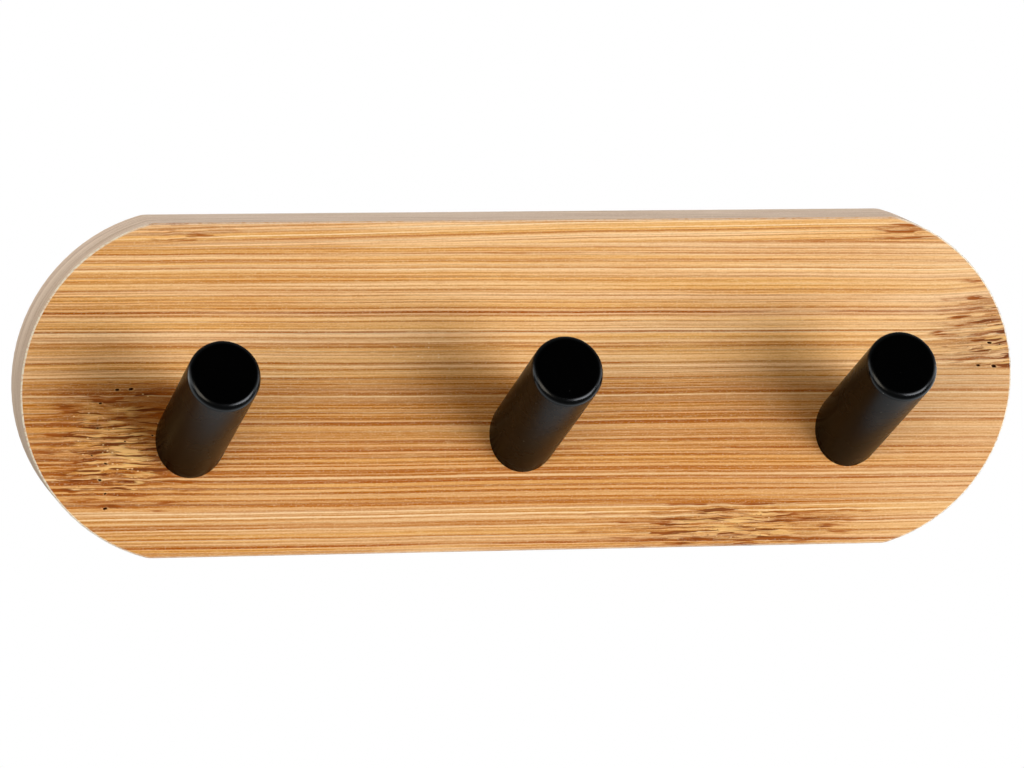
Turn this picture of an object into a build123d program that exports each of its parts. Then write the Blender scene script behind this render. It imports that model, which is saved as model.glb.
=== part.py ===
from build123d import *
import os
from math import cos, radians, sin, tan

# Wall hook rack: a bamboo backboard with a row of tilted black pegs, hung on the wall by two keyhole plates.
# The origin is the centre of the board's back face, which lies against the wall. +X runs along the board
# and +Z is up. The wall is on the +Y side, so the pegs point away from it, along -Y and upwards.
# Every screw is driven from behind, so none of them shows from the room.

os.makedirs("parts", exist_ok=True)

# Backboard
board_length = 185.0
board_height = 61.0
board_thickness = 12.0
end_bulge = 23.5  # how far each end's arc stands out past the straight edges
corner_radius = 6.0  # eases the blunt corner where an arc meets a straight edge
front_edge_radius = 0.4
back_edge_chamfer = 0.5

# Pegs: a round rod, mitred at its base so that it leans upwards
peg_count = 3
peg_pitch = 61.5
peg_radius = 6.5
peg_tilt = 27.0  # above level, in degrees
peg_length = 37.5  # along the axis, from the board's face to the tip
peg_base_z = -8.6  # the axis meets the board's face this far from mid-height
peg_tip_radius = 1.4
peg_trim = 1.0  # extra rod beyond the mitre, before it is cut
peg_names = ["left", "middle", "right"]

# Peg screws: M4 x 20, countersunk, into a blind tapped hole in each peg
peg_screw_radius = 1.95
peg_screw_length = 20.0
peg_screw_head_radius = 4.0
peg_screw_head_rim = 0.2
peg_screw_point = 0.5  # length of the chamfer at its end
peg_screw_drop = 0.3  # the head sits this far below the board's back face
peg_screw_rise = 2.0  # above the base's centre, so that the hole stays inside the leaning rod
peg_screw_clearance_radius = 2.25  # through the board
tapped_radius = 2.0
tapped_depth = 10.5
drill_point_depth = 1.2

# Keyhole plates: steel, let into the board's back, each with a round entry below a narrow slot
plate_pitch = 90.0
plate_length = 40.0
plate_width = 16.0
plate_thickness = 1.5
plate_z = 4.5  # centre of the plate, which brings the round entry to mid-height
plate_drop = 0.1  # the plate sits this far below the board's back face
plate_edge_chamfer = 0.2
recess_clearance = 0.15
entry_radius = 4.5
slot_width = 4.6
slot_travel = 9.5  # from the entry's centre up to the centre of the slot's end
head_pocket_width = 11.0
head_pocket_depth = 5.0  # behind the plate, for the head of the screw in the wall
plate_names = ["left", "right"]

# Plate screws: 3 x 8 wood screws, countersunk, at the two ends of each plate
plate_screw_pitch = 31.0
plate_screw_radius = 1.5
plate_screw_length = 8.0
plate_screw_head_radius = 2.9
plate_screw_head_rim = 0.15
plate_screw_point = 2.6  # length of its point
plate_screw_tip_radius = 0.1
plate_screw_drop = 0.1  # below the plate's own back
plate_screw_clearance_radius = 1.7  # through the plate
pilot_radius = 1.55
pilot_mouth_radius = 1.85
pilot_depth = 7.5
plate_screw_names = ["lower", "upper"]

# Cross recesses, as (width of a wing, span of the cross, depth)
peg_screw_recess = (1.0, 4.4, 1.9)
plate_screw_recess = (0.7, 3.0, 1.3)
recess_taper = 6.0
countersink_angle = 90.0

# Worked-out places
straight_half = board_length / 2 - end_bulge
peg_xs = [(i - (peg_count - 1) / 2) * peg_pitch for i in range(peg_count)]
peg_screw_z = peg_base_z + peg_screw_rise
plate_xs = [-plate_pitch / 2, plate_pitch / 2]
plate_screw_zs = [plate_z - plate_screw_pitch / 2, plate_z + plate_screw_pitch / 2]
plate_back_y = -plate_drop
plate_recess_depth = plate_thickness + plate_drop
peg_axis = Vector(0, -cos(radians(peg_tilt)), sin(radians(peg_tilt)))
towards_wall = (0, 1, 0)
from_wall = (0, -1, 0)


def seen_from_behind(x, y, z):
    """A plane that faces the wall, with its local y pointing up, so a hole feature there drills along -Y."""
    return Plane(origin=(x, y, z), x_dir=(-1, 0, 0), z_dir=towards_wall)


def make_backboard():
    """The panel, with its eased edges, the plates' recesses and pockets, and the holes for all the screws."""
    with BuildPart(seen_from_behind(0, 0, 0)) as board:
        with BuildSketch(Plane.XZ) as outline:
            with BuildLine():
                Line((-straight_half, board_height / 2), (straight_half, board_height / 2))
                ThreePointArc(
                    (straight_half, board_height / 2),
                    (board_length / 2, 0),
                    (straight_half, -board_height / 2),
                )
                Line((straight_half, -board_height / 2), (-straight_half, -board_height / 2))
                ThreePointArc(
                    (-straight_half, -board_height / 2),
                    (-board_length / 2, 0),
                    (-straight_half, board_height / 2),
                )
            make_face()
            fillet(outline.vertices(), radius=corner_radius)
        extrude(amount=board_thickness)
        fillet(board.faces().sort_by(Axis.Y)[0].edges(), radius=front_edge_radius)
        chamfer(board.faces().sort_by(Axis.Y)[-1].edges(), length=back_edge_chamfer)

        # each plate's shallow recess, and the deeper pocket behind its slot
        with BuildSketch(Plane.XZ):
            with Locations(*[(x, plate_z) for x in plate_xs]):
                SlotOverall(
                    plate_length + 2 * recess_clearance,
                    plate_width + 2 * recess_clearance,
                    rotation=90,
                )
        extrude(amount=plate_recess_depth, mode=Mode.SUBTRACT)
        with BuildSketch(Plane.XZ):
            with Locations(*[(x, slot_travel / 2) for x in plate_xs]):
                SlotCenterToCenter(slot_travel, head_pocket_width, rotation=90)
        extrude(amount=plate_recess_depth + head_pocket_depth, mode=Mode.SUBTRACT)

        with Locations(*[(x, peg_screw_z) for x in peg_xs]):
            CounterSinkHole(
                radius=peg_screw_clearance_radius,
                counter_sink_radius=peg_screw_head_radius + peg_screw_head_rim + peg_screw_drop,
                counter_sink_angle=countersink_angle,
                depth=board_thickness,
            )
        with Locations(*[(x, z, -plate_recess_depth) for x in plate_xs for z in plate_screw_zs]):
            CounterSinkHole(
                radius=pilot_radius,
                counter_sink_radius=pilot_mouth_radius,
                counter_sink_angle=countersink_angle,
                depth=pilot_depth,
            )
    return board.part


def make_peg(x):
    """A rod with a rounded tip, cut off flat along the board's face, with a tapped hole square to that cut."""
    base = Vector(x, -board_thickness, peg_base_z)
    spare = peg_radius * tan(radians(peg_tilt)) + peg_trim
    with BuildPart() as peg:
        with BuildSketch(Plane(origin=base - peg_axis * spare, x_dir=(1, 0, 0), z_dir=peg_axis)):
            Circle(peg_radius)
        extrude(amount=spare + peg_length)
        tip_rim = peg.faces().sort_by(Axis.Y)[0].edges()
        fillet(tip_rim, radius=peg_tip_radius)
        split(bisect_by=Plane(origin=base, x_dir=(1, 0, 0), z_dir=from_wall), keep=Keep.TOP)

        mouth = (x, -board_thickness, peg_screw_z)
        with BuildSketch(Plane(origin=mouth, x_dir=(1, 0, 0), z_dir=(0, 0, 1))):
            with BuildLine():
                Polyline(
                    (0, 0),
                    (tapped_radius, 0),
                    (tapped_radius, -tapped_depth),
                    (0, -tapped_depth - drill_point_depth),
                    close=True,
                )
            make_face()
        revolve(axis=Axis(mouth, towards_wall), mode=Mode.SUBTRACT)
    return peg.part


def make_countersunk_screw(head_centre, radius, head_radius, rim, length, point, tip_radius, recess):
    """A screw along -Y from the centre of its flat head, with a 90 degree head and a cross recess."""
    recess_width, recess_span, recess_depth = recess
    head_depth = rim + head_radius - radius
    with BuildPart() as screw:
        with BuildSketch(Plane(origin=head_centre, x_dir=(1, 0, 0), z_dir=(0, 0, 1))):
            with BuildLine():
                Polyline(
                    (0, 0),
                    (head_radius, 0),
                    (head_radius, -rim),
                    (radius, -head_depth),
                    (radius, point - length),
                    (tip_radius, -length),
                    (0, -length),
                    close=True,
                )
            make_face()
        revolve(axis=Axis(head_centre, towards_wall))
        with BuildSketch(Plane(origin=head_centre, x_dir=(1, 0, 0), z_dir=from_wall)):
            Rectangle(recess_width, recess_span)
            Rectangle(recess_span, recess_width)
        extrude(amount=recess_depth, taper=recess_taper, mode=Mode.SUBTRACT)
    return screw.part


def make_keyhole_plate(x):
    """An oblong plate with a keyhole between two countersunk screw holes, flush in the board's back."""
    with BuildPart(seen_from_behind(x, plate_back_y, 0)) as plate:
        with BuildSketch(Plane(origin=(x, plate_back_y, 0), x_dir=(1, 0, 0), z_dir=from_wall)):
            with Locations((0, plate_z)):
                SlotOverall(plate_length, plate_width, rotation=90)
            Circle(entry_radius, mode=Mode.SUBTRACT)
            with Locations((0, slot_travel / 2)):
                SlotCenterToCenter(slot_travel, slot_width, rotation=90, mode=Mode.SUBTRACT)
        extrude(amount=plate_thickness)
        chamfer(plate.faces().sort_by(Axis.Y)[-1].outer_wire().edges(), length=plate_edge_chamfer)
        with Locations(*[(0, z) for z in plate_screw_zs]):
            CounterSinkHole(
                radius=plate_screw_clearance_radius,
                counter_sink_radius=plate_screw_head_radius + plate_screw_head_rim + plate_screw_drop,
                counter_sink_angle=countersink_angle,
                depth=plate_thickness,
            )
    return plate.part


def save(piece, name):
    piece.label = name
    export_step(piece, f"parts/{name}.step")


save(make_backboard(), "backboard")

for side, x in zip(peg_names, peg_xs):
    save(make_peg(x), f"peg_{side}")
    peg_screw = make_countersunk_screw(
        head_centre=(x, -peg_screw_drop, peg_screw_z),
        radius=peg_screw_radius,
        head_radius=peg_screw_head_radius,
        rim=peg_screw_head_rim,
        length=peg_screw_length,
        point=peg_screw_point,
        tip_radius=peg_screw_radius - peg_screw_point,
        recess=peg_screw_recess,
    )
    save(peg_screw, f"peg_screw_{side}")

for side, x in zip(plate_names, plate_xs):
    save(make_keyhole_plate(x), f"keyhole_plate_{side}")
    for level, z in zip(plate_screw_names, plate_screw_zs):
        plate_screw = make_countersunk_screw(
            head_centre=(x, plate_back_y - plate_screw_drop, z),
            radius=plate_screw_radius,
            head_radius=plate_screw_head_radius,
            rim=plate_screw_head_rim,
            length=plate_screw_length,
            point=plate_screw_point,
            tip_radius=plate_screw_tip_radius,
            recess=plate_screw_recess,
        )
        save(plate_screw, f"plate_screw_{side}_{level}")
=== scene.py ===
import random
from collections import namedtuple
from math import atan2, ceil, cos, pi, radians, sin
from types import SimpleNamespace

import bmesh
import bpy
from mathutils import Matrix, Vector
from mathutils.geometry import delaunay_2d_cdt


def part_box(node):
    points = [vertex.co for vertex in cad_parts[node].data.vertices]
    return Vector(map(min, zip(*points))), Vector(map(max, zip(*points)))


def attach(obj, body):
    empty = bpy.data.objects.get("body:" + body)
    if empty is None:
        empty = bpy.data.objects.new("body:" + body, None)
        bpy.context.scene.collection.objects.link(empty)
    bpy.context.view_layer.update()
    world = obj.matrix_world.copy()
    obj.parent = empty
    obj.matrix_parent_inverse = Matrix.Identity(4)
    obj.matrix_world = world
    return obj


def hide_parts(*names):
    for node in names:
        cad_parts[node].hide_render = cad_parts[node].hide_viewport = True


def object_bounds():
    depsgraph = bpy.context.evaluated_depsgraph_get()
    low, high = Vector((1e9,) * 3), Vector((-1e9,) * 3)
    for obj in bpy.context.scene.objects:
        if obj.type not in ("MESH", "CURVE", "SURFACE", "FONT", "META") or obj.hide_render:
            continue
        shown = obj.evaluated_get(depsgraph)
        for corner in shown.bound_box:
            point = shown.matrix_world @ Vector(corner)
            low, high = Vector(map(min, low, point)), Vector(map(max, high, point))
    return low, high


# A bamboo wall rack with three black pegs, built round its CAD frame. The wall is at y = 0 and the room is
# on the -Y side. Materials work in millimetres, from the CAD frame's own coordinates.

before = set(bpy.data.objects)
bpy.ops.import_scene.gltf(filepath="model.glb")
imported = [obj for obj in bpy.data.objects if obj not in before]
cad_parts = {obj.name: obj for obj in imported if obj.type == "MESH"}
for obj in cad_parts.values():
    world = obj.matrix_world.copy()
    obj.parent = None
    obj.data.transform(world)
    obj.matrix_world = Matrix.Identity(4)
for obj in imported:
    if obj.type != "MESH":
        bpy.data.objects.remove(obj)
cad_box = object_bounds()

MM = 0.001
FRONT_Y = -12.0  # the board's front face, in mm
PEG_TILT = radians(27)
# How near two things are to count as in one place, in mm
WELD = 0.002
ON_FRONT = 0.001
ON_NECK = 0.01
ON_POINT = 1e-5
SHARP_ANGLE = radians(32)

# The board's glued strips, from the bottom up, as (lower edge in mm, (tone, slant, amber)). The last one is
# mostly for the rear ply, whose strips lie lower than the front's.
STRIPS = [
    (-30.0, (0.68, 0.46, 0.52)),
    (-22.2, (0.42, 0.41, 0.80)),
    (2.0, (0.62, 0.43, 0.10)),
    (26.0, (0.72, 0.62, 0.0)),
    (30.0, (0.35, 0.50, 0.4)),
]
STRIPS_FROM = STRIPS[0][0]
STRIPS_SPAN = 75.0  # in mm, and more than the board's height
FRONT_JOINTS = [low for low, _ in STRIPS[1:4]]  # where the front's strips meet
PLY_JOINT = (-6.25, -6.15)  # where the two plies are glued, in mm
PLY_DROP = 9.0  # how much lower the rear ply's strips lie
BEYOND = 60.0  # a height past the board's edges, in mm

# The stem's joints cross the front strips here, as (centre, half size), in mm, with how dark each one is
NODE_MARKS = [
    ((-74.5, -9.5), (19.0, 15.0), 1.0),
    ((92.5, 8.5), (18.0, 12.5), 0.84),
    ((40.0, -26.5), (30.0, 6.5), 0.84),
    ((-63.0, 28.6), (11.0, 2.4), 0.5),
    ((72.0, 27.6), (9.0, 2.6), 0.5),
]
LEFT_MARK_AND_SHADOW_PATCH = ((-68.0, -4.0), (10.0, 6.5))  # the brownest part of the left mark, deepened with painted shadow where the left peg's shadow falls
FLECKED_PATCH = ((-20.0, 6.5), (6.0, 3.0))  # a few cream flecks left of the middle peg

# Open pores in the node marks, as x and z in mm
PITS = [
    (-78.0, -2.0),
    (-78.5, -6.5),
    (-79.5, -11.5),
    (-77.0, -13.0),
    (-78.0, -16.0),
    (-77.0, -18.5),
    (-77.0, -21.2),
    (-68.5, -8.0),
    (-73.5, -9.0),
    (-72.5, 0.5),
    (-75.0, 0.4),
    (90.0, 6.5),
    (88.0, 6.8),
    (86.0, 2.6),
    (89.0, 2.4),
]
PIT_SEED = 7
PIT_ATTRIBUTE = "pit"
PIT_CORNERS = 14  # points in each ring round an open pore
PIT_DEPTH = 0.5  # in mm
# From a pore's middle outwards: share of its half size, depth and shade, the shade being painted shade of
# the pore's depth
PIT_PROFILE = [
    (0.35, 0.95, 1.0),
    (0.65, 0.75, 0.9),
    (0.85, 0.40, 0.6),
    (1.05, 0.10, 0.25),
    (1.45, 0.0, 0.08),
    (1.90, 0.0, 0.0),
]

# The front face's coarse grid of points, and how far it keeps from other things, in mm
GRID_STEP = 5.0
GRID_FROM_ENDS = 27.0
GRID_FROM_EDGES = 3.0
GRID_FROM_PITS = (1.4, 1.0)
GRID_FROM_HOLES = 4.0
INSIDE_ONLY = 1  # makes delaunay_2d_cdt leave out what is outside the outline
OUTLINE = 0  # the rim that is the board's own outline

# Screws, in mm, with the radius first. crest is the share of the pitch that the thread's ridge takes up.
Screw = namedtuple("Screw", "radius head_depth point tip_radius pitch depth crest")
PEG_SCREW = Screw(1.95, head_depth=2.25, point=0.5, tip_radius=1.45, pitch=0.7, depth=0.4, crest=0.12)
PLATE_SCREW = Screw(1.5, head_depth=1.55, point=2.6, tip_radius=0.1, pitch=1.1, depth=0.42, crest=0.06)
THREAD_STEPS = 8  # rings to a turn

# How bright the white studio is: to the camera, as light, and in glossy surfaces
SEEN_WHITE = 1.0
ROOM_LIGHT = 0.06
FLOOR_GREY = (0.25, 0.25, 0.25, 1)
REFLECTED_WHITE = (0.90, 0.96, 1.0, 1.0)
REFLECTED_FRONT = 0.12  # in front of the rack
REFLECTED_FLOOR = 1.1  # the floor behind it
REFLECTED_ROOM = 0.9  # the room behind it
REFLECTED_SIDES = 2.4
# The floor, in m
FLOOR_RADIUS = 14.0
FLOOR_HEIGHT = -0.30
FLOOR_CORNERS = 64


class Nodes:
    """Short names for the shader nodes of one material."""

    def __init__(self, tree):
        self.tree = tree

    def put(self, socket, value):
        """Links a socket to another one, or sets it to a plain value."""
        if isinstance(value, bpy.types.NodeSocket):
            self.tree.links.new(value, socket)
        elif value is not None:
            socket.default_value = value

    def new(self, kind, inputs=(), **settings):
        """A node with its inputs, by name or number, and its own settings."""
        made = self.tree.nodes.new("ShaderNode" + kind)
        for name, value in settings.items():
            setattr(made, name, value)
        for name, value in dict(inputs).items():
            self.put(made.inputs[name], value)
        return made

    def math(self, operation, a, b=None):
        return self.new("Math", {0: a, 1: b}, operation=operation).outputs[0]

    def add(self, a, b):
        return self.math("ADD", a, b)

    def times(self, a, b):
        return self.math("MULTIPLY", a, b)

    def most(self, a, b):
        return self.math("MAXIMUM", a, b)

    def step(self, value, low, high, to_low=0.0, to_high=1.0):
        """A smooth step of value from low to high."""
        inputs = {0: value, 1: low, 2: high, 3: to_low, 4: to_high}
        return self.new("MapRange", inputs, interpolation_type="SMOOTHSTEP").outputs[0]

    def mix(self, factor, a, b):
        made = self.new("Mix", data_type="RGBA")
        for index, value in ((0, factor), (6, a), (7, b)):
            self.put(made.inputs[index], value)
        return made.outputs[2]

    def over(self, colour, amount, *seen):
        """A colour with this much of an sRGB one laid over it."""
        return self.mix(amount, colour, seen_colour(*seen))

    def vector(self, x=0.0, y=0.0, z=0.0):
        return self.new("CombineXYZ", {0: x, 1: y, 2: z}).outputs[0]

    def scaled(self, vector, factor):
        return self.new("VectorMath", {0: vector, "Scale": factor}, operation="SCALE").outputs[0]

    def parts(self, vector):
        return self.new("SeparateXYZ", {0: vector}).outputs

    def channels(self, colour):
        return self.new("SeparateColor", {0: colour}).outputs

    def noise(self, vector, detail=2.0, roughness=0.5):
        """Noise about 0.5, one unit of the vector to a blotch."""
        inputs = {"Vector": vector, "Scale": 1.0, "Detail": detail, "Roughness": roughness}
        return self.new("TexNoise", inputs, normalize=True).outputs[0]

    def blotches(self, x, y, z, detail=2.0, roughness=0.5):
        """Noise about 0.5. Each of x, y and z is (place, a blotch's length along it), or only a place."""
        places = [self.times(p[0], 1 / p[1]) if isinstance(p, tuple) else p for p in (x, y, z)]
        return self.noise(self.vector(*places), detail, roughness)

    def bands(self, value, stops):
        """Bands of even colour, each from its (position, colour) stop up to the next."""
        made = self.new("ValToRGB", {0: value})
        ramp = made.color_ramp
        ramp.interpolation = "CONSTANT"
        while len(ramp.elements) < len(stops):
            ramp.elements.new(0.5)
        for element, (position, colour) in zip(ramp.elements, stops):
            element.position = position
            element.color = (*colour, 1.0)
        return made.outputs[0]

    def millimetres(self):
        """The frame's x, y and z, in mm."""
        parts = self.parts(self.scaled(self.new("TexCoord").outputs["Object"], 1 / MM))
        return parts[0], parts[1], parts[2]

    def facing(self):
        """How far the surface faces along x, y and z, each from -1 to 1."""
        parts = self.parts(self.new("NewGeometry").outputs["Normal"])
        return parts[0], parts[1], parts[2]


def seen_colour(red, green, blue):
    """The linear colour of an sRGB one."""
    return tuple(((c / 255 + 0.055) / 1.055) ** 2.4 for c in (red, green, blue)) + (1.0,)


def new_material(name):
    made = bpy.data.materials.new(name)
    made.use_nodes = True
    made.node_tree.nodes.clear()
    return made, Nodes(made.node_tree)


def finish_material(n, surface, bump_height, bump_mm, **constants):
    """Joins a Principled shader to the output. surface comes from nodes, and constants are plain numbers."""
    shader = n.new("BsdfPrincipled", surface)
    for name, value in constants.items():
        shader.inputs[name.replace("_", " ")].default_value = value
    bump = n.new("Bump", {"Height": bump_height, "Distance": bump_mm * MM, "Strength": 1.0})
    n.put(shader.inputs["Normal"], bump.outputs[0])
    n.new("OutputMaterial", {"Surface": shader.outputs[0]})


def grain_lines(n, wood, spacing, width, seed, marks):
    """Thin lines along x, unevenly spaced and wider where marks is higher.

    Each has its own strength, which comes and goes along the board."""
    cells = n.new(
        "TexVoronoi",
        {"W": n.add(n.times(wood.across, 1 / spacing), seed), "Scale": 1.0, "Randomness": 0.85},
        voronoi_dimensions="1D",
    )
    reach = n.times(n.add(n.times(marks, 0.7), 1.0), width / spacing)
    near = n.step(cells.outputs["Distance"], n.times(reach, 0.45), reach, 1.0, 0.0)
    own = n.channels(cells.outputs["Color"])
    strength = n.step(own[0], 0.05, 0.80, 0.30, 1.0)
    along = n.blotches((wood.x, 38), n.times(own[1], 40), seed, detail=3.0)
    return n.times(n.times(near, strength), n.step(along, 0.34, 0.54, 0.30, 1.0))


def patch(n, x, z, centre, half, edge):
    """1 inside a ragged oval, falling to 0 outside it."""
    u = n.times(n.add(x, -centre[0]), 1 / half[0])
    v = n.times(n.add(z, -centre[1]), 1 / half[1])
    away = n.math("SQRT", n.add(n.times(u, u), n.times(v, v)))
    return n.step(n.add(away, n.times(n.add(edge, -0.5), 1.3)), 0.25, 1.05, 1.0, 0.0)


def node_marks(n, x, y, z):
    """How far each point of the front is inside a node mark, and how near to the mark's middle along x."""
    edge = n.blotches((x, 8), 0.0, (z, 1.3))
    marks, hearts = 0.0, 0.0
    for centre, half, dark in NODE_MARKS:
        low = max([-BEYOND] + [joint for joint in FRONT_JOINTS if joint < centre[1]])
        high = min([BEYOND] + [joint for joint in FRONT_JOINTS if joint > centre[1]])
        inside = n.times(n.step(z, low - 0.1, low + 0.3), n.step(z, high - 0.3, high + 0.1, 1.0, 0.0))
        mark = n.times(n.times(patch(n, x, z, centre, half, edge), inside), dark)
        marks = n.most(marks, mark)
        away = n.math("ABSOLUTE", n.add(x, -centre[0]))
        hearts = n.most(hearts, n.step(away, 0.50 * half[0], 0.15 * half[0]))
    return n.times(marks, n.step(y, FRONT_Y + 2.0, FRONT_Y + 3.5, 1.0, 0.0)), hearts


def fibre_wave(n, x, y, z, marks):
    """How far the fibres stray up or down from straight lines, in mm, and most of all in the node marks."""
    slow = n.blotches((x, 95), (y, 30), (z, 30))
    fast = n.blotches((x, 16), 0.0, (z, 6))
    wobble = n.blotches((x, 8), 0.0, (z, 2.6))
    wave = n.add(n.times(n.add(slow, -0.5), 1.6), n.times(n.add(fast, -0.5), 0.22))
    wave = n.add(wave, n.times(n.times(n.add(wobble, -0.5), marks), 1.3))
    # at the right end the fibres of the upper strip fan upwards
    fan = n.most(n.add(x, -74.0), 0.0)
    fan = n.times(n.times(n.times(fan, fan), -0.0035), n.times(n.step(z, 1.0, 7.0), n.step(z, 26.0, 16.0)))
    return n.add(wave, fan)


def read_wood(n):
    """What the bamboo's colours depend on, at each point of the board."""
    x, y, z = n.millimetres()
    facing_x, facing_y, _ = n.facing()
    marks, hearts = node_marks(n, x, y, z)
    ply = n.step(y, *PLY_JOINT)
    z_own = n.add(z, n.times(ply, PLY_DROP))
    wave = fibre_wave(n, x, y, z, marks)
    # the strips glued side by side: each has its own tone, slant and depth of amber
    level = n.times(n.add(z_own, -STRIPS_FROM), 1 / STRIPS_SPAN)
    stops = [((low - STRIPS_FROM) / STRIPS_SPAN, values) for low, values in STRIPS]
    own = n.channels(n.bands(level, stops))
    tone, amber = own[0], own[2]
    slant = n.times(n.times(n.add(own[1], -0.5), x), -0.10)
    across = n.add(n.add(z_own, n.times(y, 2.1)), n.add(n.add(wave, slant), n.times(tone, 170.0)))
    return SimpleNamespace(
        x=x,
        y=y,
        z=z,
        facing_x=facing_x,
        facing_y=facing_y,
        ply=ply,
        tone=tone,
        amber=amber,
        marks=marks,
        hearts=hearts,
        core=n.step(marks, 0.60, 0.90),
        lie=n.add(z, wave),  # height among the fibres
        across=across,  # the same, with each strip's fibres its own
        # the wood is richer, and its lines are closer, towards the left node
        rich=n.times(n.step(x, -40.0, -66.0), amber),
        fibre=n.blotches((x, 40), (across, 0.25), 0.0, detail=3.0, roughness=0.6),
        speck=n.blotches((x, 0.45), (y, 0.3), (z, 0.22), detail=1.0),
    )


def wood_ground(n, wood):
    """The bamboo's colour under its lines."""
    pale = n.blotches((wood.x, 120), (wood.across, 1.6), 7.0)
    blotch = n.blotches((wood.x, 45), (wood.y, 9), (wood.z, 9))
    body = n.mix(n.step(pale, 0.36, 0.64), seen_colour(247, 190, 112), seen_colour(255, 212, 159))
    shade = n.add(n.times(n.add(wood.tone, -0.5), 0.7), blotch)
    body = n.over(body, n.step(shade, 0.3, 0.7, 0.45, 0.0), 218, 153, 82)
    body = n.over(body, n.most(n.times(wood.amber, 0.50), n.times(wood.rich, 0.7)), 212, 142, 62)
    # and paler towards the right end
    body = n.over(body, n.step(wood.x, 45.0, 88.0, 0.0, 0.30), 255, 220, 174)
    return n.over(body, n.step(wood.fibre, 0.45, 0.75, 0.0, 0.5), 204, 140, 66)


def fibre_lines(n, wood):
    """The lines of the fibres, in five widths. Some of them break up in the heart of a node mark."""
    marks = wood.marks
    lens = n.blotches((wood.x, 6), (wood.across, 0.9), 9.0)
    broken = n.add(1.0, n.times(wood.core, n.step(lens, 0.46, 0.56, -0.9, 0.0)))
    crowd = n.most(wood.amber, n.step(wood.x, 0.0, -60.0, 0.0, 0.5))
    crowd = n.times(crowd, n.step(wood.x, 30.0, 80.0, 1.0, 0.25))
    crowd = n.most(crowd, n.most(wood.rich, marks))
    close = n.math("POWER", grain_lines(n, wood, 1.05, 0.26, 47.0, marks), 0.6)
    return SimpleNamespace(
        strong=n.times(grain_lines(n, wood, 2.7, 0.27, 3.0, marks), broken),
        middle=n.times(grain_lines(n, wood, 1.25, 0.20, 11.0, marks), broken),
        close=n.times(close, n.times(broken, crowd)),
        fine=grain_lines(n, wood, 0.58, 0.14, 23.0, marks),
        cream=grain_lines(n, wood, 1.05, 0.15, 31.0, 0.0),
    )


def draw_lines(n, wood, lines, body):
    """Lays the fibre lines over the bamboo, and then its fuzz and specks."""
    bold = n.times(n.add(0.78, n.times(wood.amber, 0.5)), n.step(wood.x, 45.0, 88.0, 1.0, 0.65))
    body = n.over(body, n.times(lines.cream, 0.85), 255, 226, 178)
    body = n.over(body, n.times(lines.fine, n.times(bold, 0.8)), 194, 120, 30)
    colour = n.mix(n.times(wood.marks, 0.75), seen_colour(182, 100, 0), seen_colour(132, 58, 2))
    body = n.mix(n.times(lines.middle, n.most(bold, wood.marks)), body, colour)
    colour = n.mix(n.most(wood.marks, wood.rich), seen_colour(168, 88, 4), seen_colour(130, 58, 4))
    body = n.mix(n.times(lines.close, 0.95), body, colour)
    colour = n.mix(n.times(wood.marks, 0.8), seen_colour(166, 82, 0), seen_colour(100, 42, 4))
    body = n.mix(n.times(lines.strong, n.step(wood.x, 45.0, 88.0, 1.0, 0.7)), body, colour)
    fuzz = n.blotches((wood.x, 2.5), (wood.across, 0.16), 4.0, roughness=0.7)
    body = n.over(body, n.step(fuzz, 0.50, 0.72, 0.0, 0.34), 192, 120, 36)
    body = n.over(body, n.step(fuzz, 0.50, 0.28, 0.0, 0.34), 255, 218, 160)
    body = n.over(body, n.step(wood.speck, 0.52, 0.75, 0.0, 0.2), 186, 118, 52)
    return n.over(body, n.step(wood.speck, 0.48, 0.25, 0.0, 0.2), 255, 228, 184)


def draw_node_marks(n, wood, dash, body):
    """Tapering brown dashes among cream fibres, and a brown patch by the left peg that is partly painted
    shadow. dash is the noise that the boldest dashes come from.
    """
    cream = n.blotches((wood.x, 7), (wood.lie, 0.9), 5.0, detail=3.0)
    # painted shadow: the left peg's cast shadow, laid as extra brown over the left mark
    mark_and_shadow = patch(n, wood.x, wood.z, *LEFT_MARK_AND_SHADOW_PATCH, cream)
    body = n.over(body, n.times(mark_and_shadow, 0.55), 150, 78, 12)
    pale = n.times(wood.core, n.add(n.times(wood.hearts, 0.8), 0.2))
    pale = n.times(pale, n.step(mark_and_shadow, 0.2, 0.9, 1.0, 0.2))
    body = n.over(body, n.times(pale, n.step(cream, 0.49, 0.57, 0.0, 0.72)), 250, 202, 126)
    thin = n.blotches((wood.x, 5), (wood.lie, 0.27), 2.0)
    seen = n.step(wood.marks, 0.05, 0.50)
    body = n.over(body, n.times(seen, n.step(thin, 0.57, 0.61, 0.0, 0.62)), 172, 90, 16)
    colour = n.mix(n.step(wood.marks, 0.35, 0.95), seen_colour(162, 82, 14), seen_colour(112, 50, 8))
    return n.mix(n.times(seen, n.step(dash, 0.555, 0.60, 0.0, 0.95)), body, colour)


def draw_crumbs(n, wood, body):
    """Cream and brown crumbs in the node marks, and a few cream flecks in one patch outside them."""
    place = n.vector(n.times(wood.x, 1 / 0.9), 0.0, n.times(wood.z, 1 / 0.6))
    cells = n.new("TexVoronoi", {"Vector": place, "Scale": 1.0})
    own = n.channels(cells.outputs["Color"])[0]
    edge = n.blotches((wood.x, 3), 0.0, (wood.z, 1.3))
    fleck = n.times(patch(n, wood.x, wood.z, *FLECKED_PATCH, edge), n.step(wood.facing_y, -0.9, -0.95))
    crumb = n.step(cells.outputs["Distance"], 0.10, 0.30, 0.7, 0.0)
    body = n.over(body, n.times(n.times(crumb, fleck), n.step(own, 0.60, 0.64)), 255, 236, 200)
    crumb = n.times(crumb, wood.core)
    body = n.over(body, n.times(crumb, n.step(own, 0.76, 0.80)), 250, 214, 156)
    return n.over(body, n.times(crumb, n.step(own, 0.24, 0.20)), 124, 66, 24)


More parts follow.
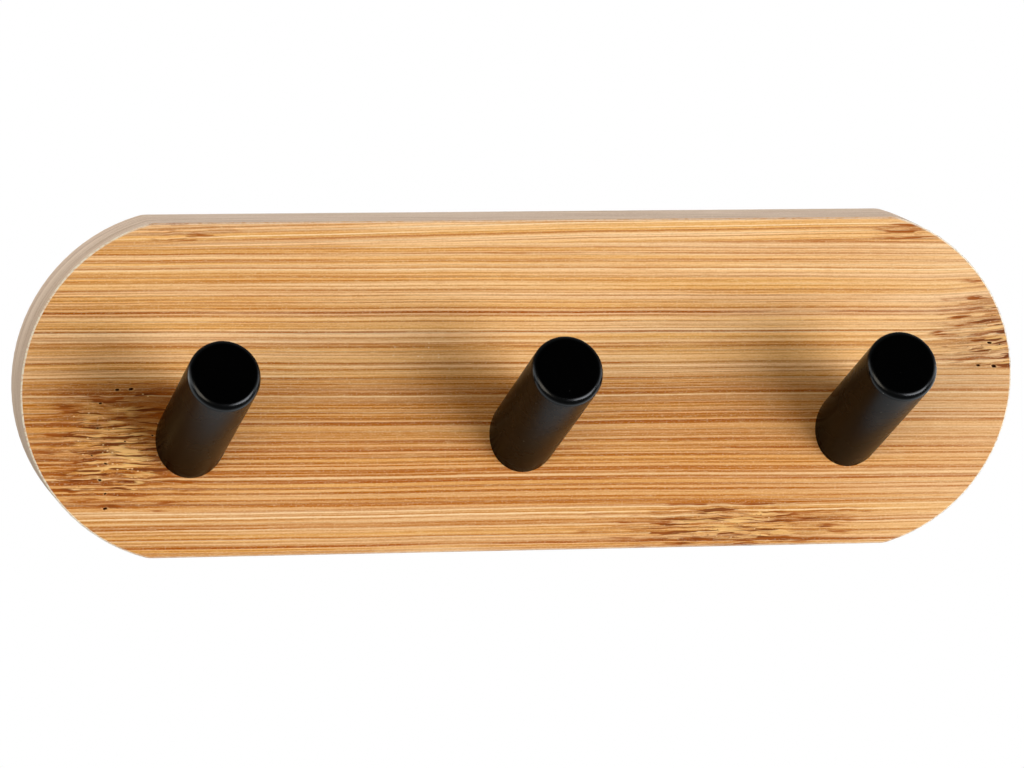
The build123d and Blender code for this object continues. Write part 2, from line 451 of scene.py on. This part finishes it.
def draw_pores(n, pit, body):
    """The open pores, which the mesh holds as real pits: dark inside with painted shade, and with a pale
    rim.
    """
    rim = n.times(n.step(pit, 0.02, 0.10), n.step(pit, 0.35, 0.20))
    body = n.over(body, n.times(rim, 0.3), 240, 196, 132)
    # painted shade: the pore's inside drawn dark as if shaded
    return n.over(body, n.step(pit, 0.35, 0.80), 52, 22, 6)


def draw_sides(n, wood, side, body):
    """The sawn sides, which are greyer. The two plies differ a little."""
    colour = n.mix(wood.ply, seen_colour(222, 205, 188), seen_colour(228, 211, 194))
    grain = n.blotches((wood.x, 30), (wood.y, 0.35), (wood.z, 30), detail=4.0, roughness=0.65)
    colour = n.over(colour, n.times(n.step(grain, 0.42, 0.62), 0.75), 168, 140, 116)
    colour = n.over(colour, n.step(wood.speck, 0.5, 0.7, 0.0, 0.5), 228, 214, 200)
    return n.mix(n.times(side, 0.92), body, colour)


def draw_worn_and_lit_edge(n, wood, whole, body):
    """The front's eased edge, rubbed pale and lit with a painted highlight, mostly round the ends."""
    wear_and_highlight = n.times(n.step(wood.facing_y, -0.05, -0.30), n.step(wood.facing_y, -0.999, -0.96))
    wear_and_highlight = n.times(n.times(wear_and_highlight, whole), n.step(n.math("ABSOLUTE", wood.facing_x), 0.10, 0.35, 0.35, 1.0))
    worn = n.blotches((wood.x, 1.2), (wood.y, 0.6), (wood.z, 0.45), detail=4.0, roughness=0.7)
    # the pale colour is partly wear and partly a painted highlight along the arris
    return n.over(body, n.times(wear_and_highlight, n.step(worn, 0.35, 0.55, 0.4, 1.0)), 255, 246, 226)


def make_bamboo():
    """Bamboo strips glued into a board, with a thin satin oil."""
    made, n = new_material("bamboo_laminate")
    wood = read_wood(n)
    lines = fibre_lines(n, wood)
    dash = n.blotches((wood.x, 8), (wood.lie, 0.6), 0.0)
    pit = n.new("Attribute", attribute_name=PIT_ATTRIBUTE).outputs["Fac"]
    whole = n.step(pit, 0.0, 0.06, 1.0, 0.0)
    side = n.times(n.times(n.step(wood.facing_y, -0.35, -0.10), n.step(wood.facing_y, 0.95, 0.80)), whole)

    body = draw_lines(n, wood, lines, wood_ground(n, wood))
    body = draw_node_marks(n, wood, dash, body)
    body = draw_crumbs(n, wood, body)
    body = draw_pores(n, pit, body)
    body = draw_sides(n, wood, side, body)
    body = draw_worn_and_lit_edge(n, wood, whole, body)

    relief = n.add(n.times(lines.strong, -0.6), n.add(n.times(wood.fibre, 0.5), n.times(lines.middle, -0.3)))
    relief = n.add(relief, n.times(n.times(wood.marks, n.step(dash, 0.54, 0.64)), -0.8))
    dull = n.most(n.times(side, 0.15), n.times(pit, 0.4))
    roughness = n.add(0.46, n.add(n.times(wood.fibre, 0.14), dull))
    surface = {"Base Color": body, "Roughness": roughness}
    finish_material(n, surface, relief, 0.03, IOR=1.45, Specular_IOR_Level=0.1)
    return made


def make_peg_coating():
    """Satin black powder coat with a fine orange peel and specks of dust, shinier low on the tip's rim."""
    made, n = new_material("black_powder_coat")
    _, facing_y, facing_z = n.facing()
    place = n.vector(*n.millimetres())
    peel = n.noise(n.scaled(place, 1 / 0.45))
    cloud = n.noise(n.scaled(place, 1 / 9), detail=3.0)
    specks = n.new("TexVoronoi", {"Vector": place, "Scale": 1 / 1.6, "Randomness": 1.0})
    own = n.channels(specks.outputs["Color"])
    dust = n.times(n.step(specks.outputs["Distance"], 0.04, 0.08, 1.0, 0.0), n.step(own[0], 0.87, 0.90))
    black = n.mix(cloud, (0.0001, 0.0001, 0.0001, 1), (0.0004, 0.0004, 0.0004, 1))
    colour = n.mix(n.times(dust, n.step(own[1], 0.2, 0.9, 0.25, 0.9)), black, (0.28, 0.27, 0.25, 1))
    roughness = n.add(n.step(cloud, 0.3, 0.7, 0.24, 0.30), n.times(dust, 0.3))
    along = n.add(n.times(facing_y, -cos(PEG_TILT)), n.times(facing_z, sin(PEG_TILT)))
    polished = n.times(n.step(along, 0.10, 0.35), n.step(along, 0.985, 0.90))
    polished = n.times(polished, n.step(facing_z, 0.50, 0.15))
    surface = {"Base Color": colour, "Roughness": roughness, "Coat Weight": polished}
    finish_material(n, surface, peel, 0.006, IOR=1.10, Coat_Roughness=0.22, Coat_IOR=1.35)
    return made


def make_plate_steel():
    """Bright zinc-plated steel, brushed along its length."""
    made, n = new_material("zinc_plated_steel")
    x, y, z = n.millimetres()
    brushed = n.blotches((x, 0.12), (y, 0.4), (z, 9), detail=3.0)
    cloud = n.blotches((x, 6), (y, 6), (z, 8), detail=3.0)
    colour = n.mix(cloud, (0.60, 0.61, 0.63, 1), (0.74, 0.74, 0.73, 1))
    colour = n.mix(n.step(brushed, 0.35, 0.65, 0.0, 0.25), colour, (0.42, 0.43, 0.45, 1))
    roughness = n.add(n.step(cloud, 0.3, 0.7, 0.26, 0.36), n.times(brushed, 0.12))
    finish_material(n, {"Base Color": colour, "Roughness": roughness}, brushed, 0.004, Metallic=1.0)
    return made


def make_screw_steel():
    """Yellow-passivated zinc, a little cloudy."""
    made, n = new_material("yellow_zinc")
    cloud = n.noise(n.scaled(n.vector(*n.millimetres()), 1 / 1.8), detail=3.0)
    colour = n.mix(cloud, (0.62, 0.50, 0.27, 1), (0.70, 0.64, 0.45, 1))
    roughness = n.step(cloud, 0.3, 0.7, 0.24, 0.38)
    finish_material(n, {"Base Color": colour, "Roughness": roughness}, cloud, 0.01, Metallic=1.0)
    return made


def node_copy(name):
    """A CAD node's mesh to work on, with its corners joined up."""
    made = bmesh.new()
    made.from_mesh(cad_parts[name].data)
    bmesh.ops.remove_doubles(made, verts=made.verts, dist=WELD * MM)
    return made


def stand_in(made, name, node, material):
    """Makes the piece that replaces a CAD node."""
    bmesh.ops.recalc_face_normals(made, faces=made.faces)
    mesh = bpy.data.meshes.new(name)
    made.to_mesh(mesh)
    made.free()
    if "custom_normal" in mesh.attributes:
        mesh.attributes.remove(mesh.attributes["custom_normal"])
    for face in mesh.polygons:
        face.use_smooth = True
        face.material_index = 0
    mesh.set_sharp_from_angle(angle=SHARP_ANGLE)
    mesh.materials.append(material)
    piece = bpy.data.objects.new(name, mesh)
    bpy.context.scene.collection.objects.link(piece)
    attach(piece, "root")
    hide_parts(node)


def open_loops(made):
    """The rims of a mesh's openings, each as a list of vertices in order, and the longest one first."""
    left = dict.fromkeys(e for e in made.edges if e.is_boundary)  # in the mesh's order, so that runs agree
    loops = []
    while left:
        edge = next(iter(left))
        del left[edge]
        loop = list(edge.verts)
        while True:
            onward = [e for e in loop[-1].link_edges if e in left]
            if not onward:
                break
            del left[onward[0]]
            loop.append(onward[0].other_vert(loop[-1]))
        loops.append(loop[:-1] if loop[-1] == loop[0] else loop)
    return sorted(loops, key=len, reverse=True)


def pit_rings(x, z, draw):
    """Rings of points round an open pore of random size, as ((x, z), depth, shade), both from 0 to 1."""
    half_x = draw.uniform(0.20, 0.56)
    half_z = half_x * draw.uniform(0.45, 0.65)
    lean = draw.uniform(-0.25, 0.25)
    points = [((x, z), 1.0, 1.0)]
    for share, depth, shade in PIT_PROFILE:
        for k in range(PIT_CORNERS):
            a = 2 * pi * k / PIT_CORNERS
            u, v = half_x * share * cos(a), half_z * share * sin(a)
            points.append(((x + u, z + v + lean * u), depth, shade))
    return points


def front_points(holes):
    """Points for the front face's flat, as ((x, z), depth, shade): the pores and a coarse grid."""
    draw = random.Random(PIT_SEED)
    points = []
    for x, z in PITS:
        points += pit_rings(x, z, draw)
    high_x, high_z = cad_box[1].x / MM, cad_box[1].z / MM
    pit_x, pit_z = GRID_FROM_PITS
    for i in range(int(-high_x / GRID_STEP), int(high_x / GRID_STEP) + 1):
        for k in range(int(-high_z / GRID_STEP), int(high_z / GRID_STEP) + 1):
            x, z = i * GRID_STEP, k * GRID_STEP
            clear = abs(x) < high_x - GRID_FROM_ENDS and abs(z) < high_z - GRID_FROM_EDGES
            clear = clear and all(abs(x - px) > pit_x or abs(z - pz) > pit_z for px, pz in PITS)
            if clear and all((Vector((x, z)) - middle).length > GRID_FROM_HOLES for middle in holes):
                points.append(((x, z), 0.0, 0.0))
    return points


def hole_middles(loops):
    """The middle of each hole in the front, as x and z in mm."""
    middles = []
    for loop in loops:
        middle = sum((v.co for v in loop), Vector()) / len(loop) / MM
        middles.append(Vector((middle.x, middle.z)))
    return middles


def lay_front(made, loops):
    """Fills the front between its rims, the outline first, with faces that dip into the open pores."""
    pit_layer = made.verts.layers.float[PIT_ATTRIBUTE]
    rims = [v for loop in loops for v in loop]
    rim_numbers = [number for number, loop in enumerate(loops) for _ in loop]
    extra = front_points(hole_middles(loops[1:]))
    points = [Vector((v.co.x / MM, v.co.z / MM)) for v in rims] + [Vector(e[0]) for e in extra]
    edges, first = [], 0
    for loop in loops:
        edges += [(first + i, first + (i + 1) % len(loop)) for i in range(len(loop))]
        first += len(loop)
    outer = list(range(len(loops[OUTLINE])))
    places, _, faces, sources, _, _ = delaunay_2d_cdt(points, edges, [outer], INSIDE_ONLY, ON_POINT)
    verts, vert_rims = [], []
    for place, source in zip(places, sources):
        if source[0] < len(rims):
            verts.append(rims[source[0]])
            vert_rims.append(rim_numbers[source[0]])
            continue
        _, depth, shade = extra[source[0] - len(rims)]
        vert = made.verts.new((place.x * MM, (FRONT_Y + PIT_DEPTH * depth) * MM, place.y * MM))
        vert[pit_layer] = shade
        verts.append(vert)
        vert_rims.append(OUTLINE)
    for corners in faces:
        # a face whose corners all lie on one hole's rim would close that hole
        on = {vert_rims[i] for i in corners}
        if len(on) > 1 or on == {OUTLINE}:
            made.faces.new([verts[i] for i in corners])


def make_board(material):
    """The CAD board with its flat front face laid again, so that the open pores are real pits."""
    made = node_copy("backboard")
    made.verts.layers.float.new(PIT_ATTRIBUTE)
    flat = [f for f in made.faces if all(abs(v.co.y - FRONT_Y * MM) < ON_FRONT * MM for v in f.verts)]
    bmesh.ops.delete(made, geom=flat, context="FACES")
    lay_front(made, open_loops(made))
    stand_in(made, "backboard_bamboo", "backboard", material)


def thread_reach(screw, neck, tip, y, angle):
    """How far a threaded shank stands out from its axis, in mm, at this y and at this angle round it."""
    narrowed = (screw.radius - screw.tip_radius) * max(0.0, (tip + screw.point - y) / screw.point)
    full = screw.radius - narrowed
    cut = screw.depth * min(1.0, (neck - y) / screw.pitch) * full / screw.radius
    turn = (y / screw.pitch + angle / (2 * pi)) % 1.0
    ridge = min(1.0, max(0.0, 1.0 - (abs(2 * turn - 1) - screw.crest) / (1.0 - 2 * screw.crest)))
    return full - cut * (1.0 - ridge)


def make_threaded_screw(node, material, screw):
    """The CAD screw's head on a threaded shank."""
    made = node_copy(node)
    low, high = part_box(node)
    low, high = low / MM, high / MM
    centre_x, centre_z = (low.x + high.x) / 2, (low.z + high.z) / 2
    neck, tip = high.y - screw.head_depth, low.y
    shank = [f for f in made.faces if all(v.co.y / MM < neck + ON_NECK for v in f.verts)]
    bmesh.ops.delete(made, geom=shank, context="FACES")
    ring = open_loops(made)[0]
    angles = [atan2(v.co.z / MM - centre_z, v.co.x / MM - centre_x) for v in ring]
    rings = ceil((neck - tip) / screw.pitch * THREAD_STEPS)
    for k in range(1, rings + 1):
        y = neck + (tip - neck) * k / rings
        below = []
        for angle in angles:
            reach = thread_reach(screw, neck, tip, y, angle)
            place = (centre_x + reach * cos(angle), y, centre_z + reach * sin(angle))
            below.append(made.verts.new(Vector(place) * MM))
        for i in range(len(ring)):
            j = (i + 1) % len(ring)
            made.faces.new((ring[i], ring[j], below[j], below[i]))
        ring = below
    end = made.verts.new(Vector((centre_x, tip, centre_z)) * MM)
    for i in range(len(ring)):
        made.faces.new((ring[i], ring[(i + 1) % len(ring)], end))
    stand_in(made, node + "_threaded", node, material)


def paint(prefix, material):
    """Gives every CAD node whose name starts with prefix this material."""
    for name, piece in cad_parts.items():
        if name.startswith(prefix):
            for held in piece.material_slots:
                held.material = material


def by_ray(n, light, reflected, seen):
    """One shader for the light that a surface sends out, one for its reflections and one for the camera."""
    rays = n.new("LightPath").outputs
    shown = n.new("MixShader", {0: rays["Is Glossy Ray"], 1: light.outputs[0], 2: reflected.outputs[0]})
    shown = n.new("MixShader", {0: rays["Is Camera Ray"], 1: shown.outputs[0], 2: seen.outputs[0]})
    return shown.outputs[0]


def make_floor():
    """A wide pale floor, well below the rack, as under a seamless studio sweep."""
    angles = [2 * pi * i / FLOOR_CORNERS for i in range(FLOOR_CORNERS)]
    ring = [(FLOOR_RADIUS * cos(a), FLOOR_RADIUS * sin(a), FLOOR_HEIGHT) for a in angles]
    mesh = bpy.data.meshes.new("floor")
    mesh.from_pydata(ring, [], [list(range(FLOOR_CORNERS))])
    floor = bpy.data.objects.new("floor", mesh)
    bpy.context.scene.collection.objects.link(floor)
    made, n = new_material("floor_white")
    light = n.new("BsdfDiffuse", {"Color": FLOOR_GREY})
    seen = n.new("Emission", {"Color": (1, 1, 1, 1), "Strength": SEEN_WHITE})
    back = n.parts(n.new("TexCoord").outputs["Object"])[1]
    level = n.step(back, -0.25, 0.05, REFLECTED_FRONT, REFLECTED_FLOOR)
    reflected = n.new("Emission", {"Color": REFLECTED_WHITE, "Strength": level})
    n.new("OutputMaterial", {"Surface": by_ray(n, light, reflected, seen)})
    mesh.materials.append(made)


def make_world():
    """The white room round the rack."""
    world = bpy.data.worlds.new("studio")
    world.use_nodes = True
    world.node_tree.nodes.clear()
    n = Nodes(world.node_tree)
    light = n.new("Background", {"Color": (1, 1, 1, 1), "Strength": ROOM_LIGHT})
    seen = n.new("Background", {"Color": (1, 1, 1, 1), "Strength": SEEN_WHITE})
    towards = n.parts(n.new("TexCoord").outputs["Generated"])
    level = n.step(towards[1], -0.3, 0.3, REFLECTED_FRONT, REFLECTED_ROOM)
    at_sides = n.step(n.math("ABSOLUTE", towards[0]), 0.80, 0.95, 0.0, REFLECTED_SIDES)
    level = n.most(level, at_sides)
    reflected = n.new("Background", {"Color": REFLECTED_WHITE, "Strength": level})
    n.new("OutputWorld", {"Surface": by_ray(n, light, reflected, seen)})
    bpy.context.scene.world = world


def direction(azimuth, elevation):
    """The way from the object towards something. Azimuth 0 is in front, and more of it is to the right."""
    a, e = radians(azimuth), radians(elevation)
    return Vector((sin(a) * cos(e), -cos(a) * cos(e), sin(e)))


def make_softbox(name, azimuth, elevation, distance, size, watts, colour):
    """A lamp that faces the rack. Its distance and size are in m."""
    data = bpy.data.lights.new(name, "AREA")
    data.shape = "RECTANGLE"
    data.size, data.size_y = size
    data.energy = watts
    data.color = colour
    lamp = bpy.data.objects.new(name, data)
    towards = direction(azimuth, elevation)
    lamp.location = towards * distance
    lamp.rotation_mode = "QUATERNION"
    lamp.rotation_quaternion = towards.to_track_quat("Z", "Y")
    lamp.visible_camera = False
    bpy.context.scene.collection.objects.link(lamp)
    return lamp


def make_lights():
    """Two softboxes in front, one at the left, and a large one high up behind the rack."""
    cool, warm, soft = (0.97, 1.0, 1.06), (1.0, 0.91, 0.76), (1.0, 0.96, 0.92)
    make_softbox("key", 33, 3, distance=1.4, size=(0.8, 0.7), watts=16.1, colour=cool)
    make_softbox("fill", -42, 3, distance=1.5, size=(0.9, 0.8), watts=8.4, colour=warm)
    overhead = make_softbox("overhead", 180, 50, distance=4.2, size=(4.0, 4.0), watts=190, colour=soft)
    overhead.visible_glossy = False  # the tips' upper rims stay black
    make_softbox("left_side", -120, 8, distance=1.6, size=(0.9, 0.9), watts=5.0, colour=(1.0, 0.97, 0.94))


def make_camera():
    """At the left of the front and a little above, with a long lens. Its places are in mm."""
    azimuth, elevation, roll = -13.06, 9.16, 1.26
    distance = 1102.5
    aim = Vector((-2.47, FRONT_Y, 0.41))
    data = bpy.data.cameras.new("camera")
    data.lens = 213.17
    data.sensor_width = 36.0
    camera = bpy.data.objects.new("camera", data)
    back = direction(azimuth, elevation)
    right = (-back).cross(Vector((0, 0, 1))).normalized()
    up = right.cross(-back)
    a = radians(roll)
    tilted_right = right * cos(a) + up * sin(a)
    tilted_up = up * cos(a) - right * sin(a)
    turn = Matrix((tilted_right, tilted_up, back)).transposed()
    camera.matrix_world = Matrix.Translation((aim + back * distance) * MM) @ turn.to_4x4()
    bpy.context.scene.collection.objects.link(camera)
    bpy.context.scene.camera = camera


make_board(make_bamboo())
paint("peg_", make_peg_coating())  # the peg screws' own nodes too, but those are replaced below
screw_steel = make_screw_steel()
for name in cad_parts:
    if name.startswith("peg_screw_"):
        make_threaded_screw(name, screw_steel, PEG_SCREW)
    if name.startswith("plate_screw_"):
        make_threaded_screw(name, screw_steel, PLATE_SCREW)
paint("keyhole_plate_", make_plate_steel())

make_floor()
make_lights()
make_world()
make_camera()
bpy.context.scene.view_settings.view_transform = "Standard"
